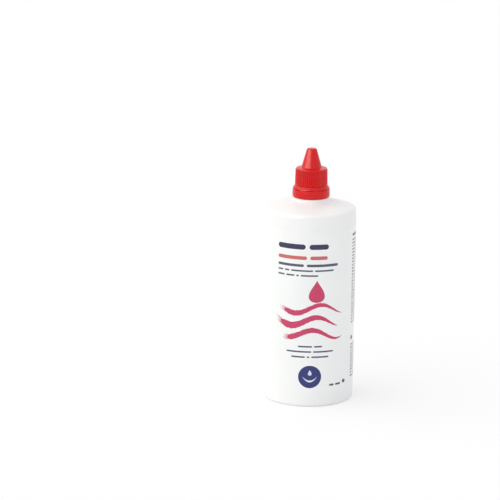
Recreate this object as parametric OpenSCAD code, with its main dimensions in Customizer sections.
// Contact lens solution bottle with a tamper-evident pointed screw cap.
// A round blow-moulded bottle holds the solution. A dropper plug is pressed into its neck, and a
// red cap with a long cone screws down over the plug. The frame stands on the bottle's base:
// origin at the base's centre, +Z up, label front towards -Y.

/* [Bottle body] */
// Diameter of the straight body
body_d = 62.5; // [56:0.5:70]
// Height at which the straight wall meets the shoulder
wall_top_z = 132.7; // [110:0.1:160]
// Thickness of the blown wall
wall_t = 0.9; // [0.7:0.1:1.4]
// Radius of the rounded shoulder corner
shoulder_r = 2.7; // [1.6:0.1:5]
// Slope of the shoulder where it leaves its corner, in degrees
shoulder_slope_out = 17.5; // [15:0.5:24]
// Slope of the shoulder where it reaches the neck's step, in degrees
shoulder_slope_in = 12; // [9:0.5:13.5]
// Diameter of the step that the neck stands on
step_d = 24.8; // [24:0.1:25.2]
// Height of the step's upright side
step_h = 0.5; // [0.2:0.1:1.5]
// Radius of the fillet between the shoulder and the step
step_fillet_r = 2; // [1:0.1:3]
// Radius of the rounded heel
heel_r = 2.2; // [1.6:0.1:4]
// Width of the flat ring that the bottle stands on
ring_w = 2.4; // [1.5:0.1:4]
// Height of the push-up in the middle of the base
push_up_h = 3.2; // [1.5:0.1:5]
// Thickness of the base
base_t = 1.3; // [1:0.1:2]
// Length of the pinch-off seam under the base
pinch_l = 24; // [12:1:34]

/* [Neck finish] */
// Diameter over the neck thread
thread_d = 19.2; // [18.6:0.1:20]
// Height of the thread ridge above the neck's root
thread_depth = 1; // [0.8:0.05:1.1]
// Rise of the thread in one turn
thread_pitch = 3.175; // [2.9:0.005:3.6]
// Turns of thread on the neck and in the cap
thread_turns = 1.5; // [1.25:0.25:1.75]
// Distance from the neck's top land down to the middle of the uppermost thread
thread_drop = 3.1; // [2.6:0.1:3.6]
// Bore of the neck
bore_d = 14.2; // [13.4:0.1:14.8]
// Height from the step's top to the neck's top land
neck_h = 17.3; // [16.6:0.1:19]
// Diameter of the collar under the tamper bead
collar_d = 19; // [18.4:0.1:19.6]
// Height of the collar under the tamper bead
collar_h = 2.6; // [2.4:0.1:3.2]
// Radius of the fillet between the step and the collar
collar_fillet_r = 0.6; // [0.3:0.1:1]
// Diameter of the bead that holds the tamper band down
bead_d = 22; // [21.6:0.1:22.2]
// Height of that bead
bead_h = 1.8; // [1.4:0.1:2.2]

/* [Dropper plug] */
// Thickness of the plug's flange
flange_t = 1.3; // [1:0.1:1.8]
// Diameter of the plug's flange
flange_d = 16.8; // [15.6:0.1:17]
// Length of the plug's skirt inside the neck
plug_l = 7; // [5:0.5:10]
// Wall of the plug
plug_t = 1.1; // [0.8:0.05:1.2]
// Diameter of the nozzle at its foot
nozzle_base_d = 12.1; // [11.4:0.1:12.4]
// Diameter of the nozzle at its tip
nozzle_tip_d = 4.4; // [4:0.1:4.8]
// Height of the nozzle above the flange
nozzle_h = 13.4; // [11:0.1:16]
// Diameter of the hole that the solution leaves by
orifice_d = 1.6; // [1.4:0.05:1.8]

/* [Screw cap] */
// Diameter over the ribs at the foot of the skirt
skirt_d = 22.4; // [22.2:0.1:23]
// Diameter over the ribs at the top of the skirt
skirt_top_d = 21.9; // [21.7:0.1:22.4]
// Number of grip ribs
rib_count = 50; // [36:1:60]
// Height of a grip rib
rib_t = 0.4; // [0.2:0.05:0.5]
// Width of a grip rib at its foot
rib_w = 0.9; // [0.7:0.05:1.1]
// Width of a grip rib at its crest
rib_crest_w = 0.35; // [0.3:0.05:0.6]
// Thickness of the cap's top around the cone
cap_top_t = 1.4; // [1.1:0.1:2]
// Wall of the cone
cone_t = 1.2; // [0.9:0.05:1.4]
// Thickness of the cone's closed tip
tip_t = 1.25; // [1:0.05:2]
// Radius of the rounded edge at the cone's tip
tip_r = 1.3; // [0.8:0.1:1.5]
// Height of the sloping flange at the foot of the skirt
foot_h = 2.15; // [1.6:0.05:2.4]
// Diameter of that flange
foot_d = 25.1; // [24.6:0.1:25.4]
// Diameter of the pin that closes the nozzle
pintle_d = 1.1; // [0.9:0.05:1.2]

/* [Tamper band] */
// Largest diameter of the band
band_d = 25.8; // [25.5:0.1:26.4]
// Height of the band
band_h = 5.9; // [5.4:0.1:6.4]
// Wall of the band
band_t = 1.3; // [1:0.05:1.35]
// Radius of the rounded lower edge of the band
band_edge_r = 1; // [0.6:0.05:1.2]
// Distance that the band's catch reaches in under the bead
catch_reach = 0.55; // [0.4:0.05:0.7]
// Height of the slit between the band and the cap
slit_h = 0.3; // [0.3:0.05:0.9]
// Number of bridges across the slit
bridge_count = 8; // [6:1:10]
// Angle that one bridge covers
bridge_angle = 18; // [8:1:22]
// Angle from the front to the first bridge
bridge_turn = 8; // [0:1:45]

/* [Label] */
// Height of the label
label_h = 117; // [90:1:121]
// Height of the label's lower edge
label_z = 7.5; // [5:0.5:9]
// Thickness of the label film
label_t = 0.12; // [0.08:0.01:0.2]
// Width of the bare strip between the label's ends at the back
label_strip_w = 4.5; // [3:0.5:10]

/* [Contents] */
// Volume of solution in the bottle, in millilitres
fill_ml = 360; // [300:5:365]

/* [Clearances] */
// Radial gap between the cap's thread and the neck's
thread_gap = 0.25; // [0.2:0.01:0.32]
// Gap between the nozzle and the cone around it
nozzle_gap = 0.4; // [0.3:0.05:0.5]
// Gap between the top of the plug's flange and the cap
seal_gap = 0.15; // [0.1:0.05:0.25]
// Height of the band's lower edge above the neck's step
band_lift = 0.1; // [0.05:0.05:0.4]
// Gap between the band's catch and the bead above it
catch_gap = 0.6; // [0.4:0.05:0.8]
// Thickness of the glue between the bottle and the label
glue_t = 0.02; // [0.01:0.01:0.05]
// Gap between the solution and the inside of the bottle
fill_gap = 0.05; // [0.02:0.01:0.1]

/* [Hidden] */
$fn = 96;

body_r = body_d / 2;
ring_in_r = body_r - heel_r - ring_w;
pinch_w = 0.7;
pinch_drop = 0.4;
arc_steps = 8;

// Shoulder: a corner arc, then one wide arc up to the fillet of the neck's step
corner_x = body_r - shoulder_r;
dome_out_x = corner_x + shoulder_r * sin(shoulder_slope_out);
dome_out_z = wall_top_z + shoulder_r * cos(shoulder_slope_out);
dome_in_x = step_d / 2 + step_fillet_r * (1 - sin(shoulder_slope_in));
dome_r = (dome_out_x - dome_in_x) / (sin(shoulder_slope_out) - sin(shoulder_slope_in));
dome_cx = dome_out_x - dome_r * sin(shoulder_slope_out);
dome_cz = dome_out_z - dome_r * cos(shoulder_slope_out);
step_foot_z = dome_cz + (dome_r + step_fillet_r) * cos(shoulder_slope_in);
step_edge_r = 0.3;

// Neck, from the step's top up
step_z = step_foot_z + step_h;
bead_z = step_z + collar_h;
land_z = step_z + neck_h;
root_r = thread_d / 2 - thread_depth;
thread_z = land_z - thread_drop - thread_turns * thread_pitch;
thread_foot_w = 1.7;
thread_crest_w = 0.9;
thread_sunk = 0.3;
thread_tip_sunk = 0.06;
thread_steps = 36;
bore_chamfer = 1.2;
lip_chamfer = 0.4;
heel_in_r = 0.4;

// Plug
nozzle_z = land_z + flange_t;
nozzle_slope = (nozzle_base_d - nozzle_tip_d) / 2 / nozzle_h;
nozzle_tip_z = nozzle_z + nozzle_h;
nozzle_round = 0.7;
nozzle_tip_t = 1.4;
flange_chamfer = 0.2;
seal_rib_h = 0.6;
seal_rib_slope = 0.3;
seal_rib_inset = 1.6;
plug_lead_w = 0.5;
plug_lead_h = 1;
plug_slack = 0.15;

// Tamper band, under the cap
band_z = step_z + band_lift;
band_top_z = band_z + band_h;
catch_z = bead_z - catch_gap;
catch_h = 1.4;
catch_flat = 0.6;
band_flare = 0.25;
band_flare_h = 2;
bridge_w = 0.9;
bridge_inset = 0.15;

// Cap, from its lower rim up
cap_z = band_top_z + slit_h;
skirt_z = cap_z + foot_h;
ceiling_z = nozzle_z + seal_gap;
cap_top_z = ceiling_z + cap_top_t;
cap_bore_r = thread_d / 2 + thread_gap;
cap_crest_r = root_r + thread_gap;
foot_edge_h = 0.35;
skirt_edge_r = 0.6;
rib_inset_z = 0.9;
rib_sunk = 0.35;
foot_lean = 0.1;
skirt_sink = 0.15;
cone_lift = 0.45;
pocket_z = nozzle_tip_z + 0.5;
cone_top_z = pocket_z + tip_t;
cone_fillet_r = 0.5;
cone_toe_h = 0.12;
cap_ridge_slack = 0.1;
pintle_reach = 0.8;

// Level that the stated volume reaches, with the room that the push-up takes
fill_r = body_r - wall_t - fill_gap;
push_up_ml = PI * pow(ring_in_r, 2) * push_up_h * 5 / 7 / 1000;
fill_z = base_t + (fill_ml + push_up_ml) * 1000 / (PI * pow(fill_r, 2));

// Points on an arc of radius r about [cx, cz], from angle a0 to angle a1
function arc(cx, cz, r, a0, a1, steps = arc_steps) =
    [for (i = [0:steps]) let (a = a0 + (a1 - a0) * i / steps) [cx + r * cos(a), cz + r * sin(a)]];

// Underside of the base: flat in the middle, falling to the standing ring, lifted by `up`
function push_up(up, steps = 14) =
    [for (i = [0:steps]) let (x = ring_in_r * i / steps)
        [x, push_up_h * (1 - pow(i / steps, 5)) + up]];

// Radius of the nozzle's outside at height z
function nozzle_r(z) = nozzle_base_d / 2 - nozzle_slope * (z - nozzle_z);

// Radius of the cone around it at height z, out to its outer face
function cone_r(z) = nozzle_r(z) + nozzle_gap + cone_t;

// Outline of a sealing rib from radius r out to reach, its lower edge at height z
function seal_rib(r, reach, z) =
    let (flat_z = z + seal_rib_slope, flat_top_z = flat_z + seal_rib_h)
    [[r, z], [reach, flat_z], [reach, flat_top_z], [r, flat_top_z + seal_rib_slope]];

// Slope, in degrees, of the dome arc of radius r where it reaches x
function dome_slope(r, x) = asin((x - dome_cx) / r);

// Outline of the hollow inside the bottle, `gap` inside its wall, up to the neck's bore
function hollow(gap) =
    let (
        w = wall_t + gap,
        in_r = max(heel_r - w, heel_in_r),
        end_x = bore_d / 2 - gap + bore_chamfer,
        end_a = dome_slope(dome_r - w, end_x),
        end_z = dome_cz + (dome_r - w) * cos(end_a)
    )
    concat(
        push_up(base_t + gap),
        arc(body_r - w - in_r, base_t + gap + in_r, in_r, -90, 0),
        arc(corner_x, wall_top_z, shoulder_r - w, 0, 90 - shoulder_slope_out),
        arc(dome_cx, dome_cz, dome_r - w, 90 - shoulder_slope_out, 90 - end_a, 10),
        [[bore_d / 2 - gap, end_z + bore_chamfer]]
    );

// One thread ridge as a swept trapezoid: foot at wall_r, crest at crest_r, sunk into the wall.
// Both ends run out over a ninth of a turn.
module thread_ridge(wall_r, crest_r, foot_w, crest_w, z) {
    way = sign(crest_r - wall_r);
    sunk_r = wall_r - way * thread_sunk;
    steps = round(thread_turns * thread_steps);
    run_out = 4;
    points = [
        for (i = [0:steps])
            let (
                a = 360 * thread_turns * i / steps,
                up = z + thread_pitch * thread_turns * i / steps,
                full = min(1, i / run_out, (steps - i) / run_out),
                top_r = wall_r + (crest_r - wall_r) * full - way * thread_tip_sunk * (1 - full)
            )
            for (p = [[sunk_r, -foot_w / 2], [top_r, -crest_w / 2], [top_r, crest_w / 2],
                    [sunk_r, foot_w / 2]])
                [p[0] * cos(a), p[0] * sin(a), up + p[1]]
    ];
    // Corners run so that the faces look outwards, whichever way the crest points
    order = way > 0 ? [3, 2, 1, 0] : [0, 1, 2, 3];
    sides = [
        for (i = [0:steps - 1])
            for (k = [0:3])
                let (
                    p = 4 * i + order[k],
                    q = 4 * i + order[(k + 1) % 4]
                )
                for (f = [[p, p + 4, q], [q, p + 4, q + 4]]) f
    ];
    last = 4 * steps;
    ends = [
        [order[0], order[1], order[2]], [order[0], order[2], order[3]],
        [last + order[2], last + order[1], last + order[0]],
        [last + order[3], last + order[2], last + order[0]]
    ];
    polyhedron(points = points, faces = concat(sides, ends), convexity = 6);
}

// White blown bottle: heel, wall, shoulder, step, collar, tamper bead and threaded neck
module bottle() {
    outline = concat(
        push_up(0),
        arc(body_r - heel_r, heel_r, heel_r, -90, 0),
        arc(corner_x, wall_top_z, shoulder_r, 0, 90 - shoulder_slope_out),
        arc(dome_cx, dome_cz, dome_r, 90 - shoulder_slope_out, 90 - shoulder_slope_in, 12),
        arc(step_d / 2 + step_fillet_r, step_foot_z, step_fillet_r, 270 - shoulder_slope_in, 180, 6),
        arc(step_d / 2 - step_edge_r, step_z - step_edge_r, step_edge_r, 0, 90, 3),
        arc(collar_d / 2 + collar_fillet_r, step_z + collar_fillet_r, collar_fillet_r, 270, 180, 4),
        [
            [collar_d / 2, bead_z],
            [bead_d / 2, bead_z],
            [bead_d / 2, bead_z + bead_h / 2],
            [root_r, bead_z + bead_h],
            [root_r, land_z - lip_chamfer],
            [root_r - lip_chamfer, land_z],
            [0, land_z]
        ]
    );
    color("white") {
        difference() {
            union() {
                rotate_extrude() polygon(outline);
                thread_ridge(root_r, thread_d / 2, thread_foot_w, thread_crest_w, thread_z);
            }
            rotate_extrude() polygon(concat(hollow(0), [[0, dome_cz + dome_r]]));
            translate([0, 0, wall_top_z]) cylinder(d = bore_d, h = land_z - wall_top_z + 1);
        }
        // Pinch-off seam left by the blow mould, under the base
        translate([-pinch_l / 2, -pinch_w / 2, push_up_h - pinch_drop])
            cube([pinch_l, pinch_w, pinch_drop + base_t / 2]);
    }
}

// Solution inside the bottle, up to its fill level
module lens_solution() {
    color("lightcyan", 0.6)
        intersection() {
            rotate_extrude() polygon(concat(hollow(fill_gap), [[0, dome_cz + dome_r]]));
            cylinder(r = body_r, h = fill_z);
        }
}

// Translucent dropper plug: skirt with two sealing ribs, flange on the land, nozzle
module nozzle_plug() {
    bore_r = bore_d / 2;
    skirt_r = bore_r - plug_slack;
    inner_r = skirt_r - plug_t;
    low_z = land_z - plug_l;
    throat_z = nozzle_tip_z - nozzle_tip_t;
    outline = concat(
        [[0, low_z], [skirt_r - plug_lead_w, low_z], [skirt_r, low_z + plug_lead_h]],
        seal_rib(skirt_r, bore_r, low_z + seal_rib_inset),
        seal_rib(skirt_r, bore_r, land_z - seal_rib_inset - seal_rib_h - seal_rib_slope),
        [
            [skirt_r, land_z],
            [flange_d / 2, land_z],
            [flange_d / 2, nozzle_z - flange_chamfer],
            [flange_d / 2 - flange_chamfer, nozzle_z],
            [nozzle_base_d / 2, nozzle_z]
        ],
        arc(nozzle_r(nozzle_tip_z) - nozzle_round, nozzle_tip_z - nozzle_round, nozzle_round,
            atan(nozzle_slope), 90, 6),
        [[0, nozzle_tip_z]]
    );
    color("ghostwhite", 0.85)
        difference() {
            rotate_extrude() polygon(outline);
            translate([0, 0, low_z - 1]) cylinder(r = inner_r, h = plug_l + 1);
            rotate_extrude() polygon([
                [0, land_z - 0.1],
                [inner_r, land_z - 0.1],
                [inner_r, land_z],
                [nozzle_base_d / 2 - plug_t, nozzle_z],
                [nozzle_r(throat_z) - plug_t, throat_z],
                [0, throat_z]
            ]);
            translate([0, 0, throat_z - 1]) cylinder(d = orifice_d, h = 4);
        }
}

// One grip rib, leaning with the skirt's draft
module grip_rib() {
    low_z = skirt_z + rib_inset_z / 2;
    high_z = cap_top_z - rib_inset_z;
    draft = atan((skirt_d - skirt_top_d) / 2 / (cap_top_z - skirt_z));
    translate([skirt_d / 2 - rib_t, 0, low_z])
        rotate([0, -draft, 0])
            linear_extrude(high_z - low_z)
                polygon([
                    [-rib_sunk, -rib_w / 2],
                    [0, -rib_w / 2],
                    [rib_t, -rib_crest_w / 2],
                    [rib_t, rib_crest_w / 2],
                    [0, rib_w / 2],
                    [-rib_sunk, rib_w / 2]
                ]);
}

// Red screw cap: flange, ribbed skirt, top, and the cone over the nozzle with its closing pin
module screw_cap() {
    wall_top_r = skirt_top_d / 2 - rib_t;
    cone_foot_z = cap_top_z + cone_lift;
    tip_x = cone_r(cone_top_z) - tip_r * tan((90 - atan(nozzle_slope)) / 2);
    outline = concat(
        [
            [0, cap_z],
            [foot_d / 2, cap_z],
            [foot_d / 2 - foot_lean, cap_z + foot_edge_h],
            [skirt_d / 2 + foot_lean, skirt_z - skirt_sink],
            [skirt_d / 2 - rib_t, skirt_z + skirt_sink]
        ],
        arc(wall_top_r - skirt_edge_r + rib_t / 2, cap_top_z - skirt_edge_r, skirt_edge_r, 0, 80, 6),
        [
            [cone_r(cone_foot_z) + cone_fillet_r, cone_foot_z - cone_toe_h],
            [cone_r(cone_foot_z) + cone_fillet_r * 0.3, cone_foot_z],
            [cone_r(cone_foot_z + cone_fillet_r), cone_foot_z + cone_fillet_r]
        ],
        arc(tip_x, cone_top_z - tip_r, tip_r, atan(nozzle_slope), 90, 8),
        [[0, cone_top_z]]
    );
    color("firebrick") {
        difference() {
            union() {
                rotate_extrude() polygon(outline);
                for (i = [0:rib_count - 1]) rotate([0, 0, 360 * i / rib_count]) grip_rib();
            }
            translate([0, 0, cap_z - 1]) cylinder(r = cap_bore_r, h = ceiling_z - cap_z + 1);
            rotate_extrude() polygon([
                [0, ceiling_z - 0.1],
                [nozzle_r(ceiling_z) + nozzle_gap, ceiling_z - 0.1],
                [nozzle_r(ceiling_z) + nozzle_gap, ceiling_z],
                [nozzle_r(pocket_z) + nozzle_gap, pocket_z],
                [0, pocket_z]
            ]);
        }
        thread_ridge(cap_bore_r, cap_crest_r, thread_foot_w - 2 * cap_ridge_slack,
            thread_crest_w - cap_ridge_slack, thread_z - thread_pitch / 2);
        translate([0, 0, nozzle_tip_z - pintle_reach])
            cylinder(d = pintle_d, h = pocket_z - nozzle_tip_z + pintle_reach + tip_t / 4);
    }
}

// Red tamper band that stays behind its bead when the cap is first turned
module tamper_band() {
    outer_r = band_d / 2;
    inner_r = outer_r - band_t;
    catch_r = bead_d / 2 - catch_reach;
    outline = concat(
        [[inner_r, band_z]],
        arc(outer_r - band_edge_r, band_z + band_edge_r, band_edge_r, -90, 0),
        [
            [outer_r, band_top_z - band_flare_h],
            [outer_r - band_flare, band_top_z],
            [inner_r, band_top_z],
            [inner_r, catch_z],
            [catch_r, catch_z],
            [catch_r, catch_z - catch_h * catch_flat],
            [inner_r, catch_z - catch_h]
        ]
    );
    color("firebrick") rotate_extrude() polygon(outline);
}

// Bridges that join the band to the cap until the first opening
module tamper_bridges() {
    out_r = foot_d / 2 - bridge_inset;
    color("firebrick")
        for (i = [0:bridge_count - 1])
            rotate([0, 0, 360 * i / bridge_count - 90 + bridge_turn])
                rotate_extrude(angle = bridge_angle)
                    translate([out_r - bridge_w, band_top_z]) square([bridge_w, slit_h]);
}

// Thin film label, wrapped round with a bare strip at the back
module wrap_label() {
    strip = 360 * label_strip_w / (PI * body_d);
    color("snow")
        rotate([0, 0, 90 + strip / 2])
            rotate_extrude(angle = 360 - strip)
                translate([body_r + glue_t, label_z]) square([label_t, label_h]);
}

bottle();
lens_solution();
nozzle_plug();
screw_cap();
tamper_band();
tamper_bridges();
wrap_label();
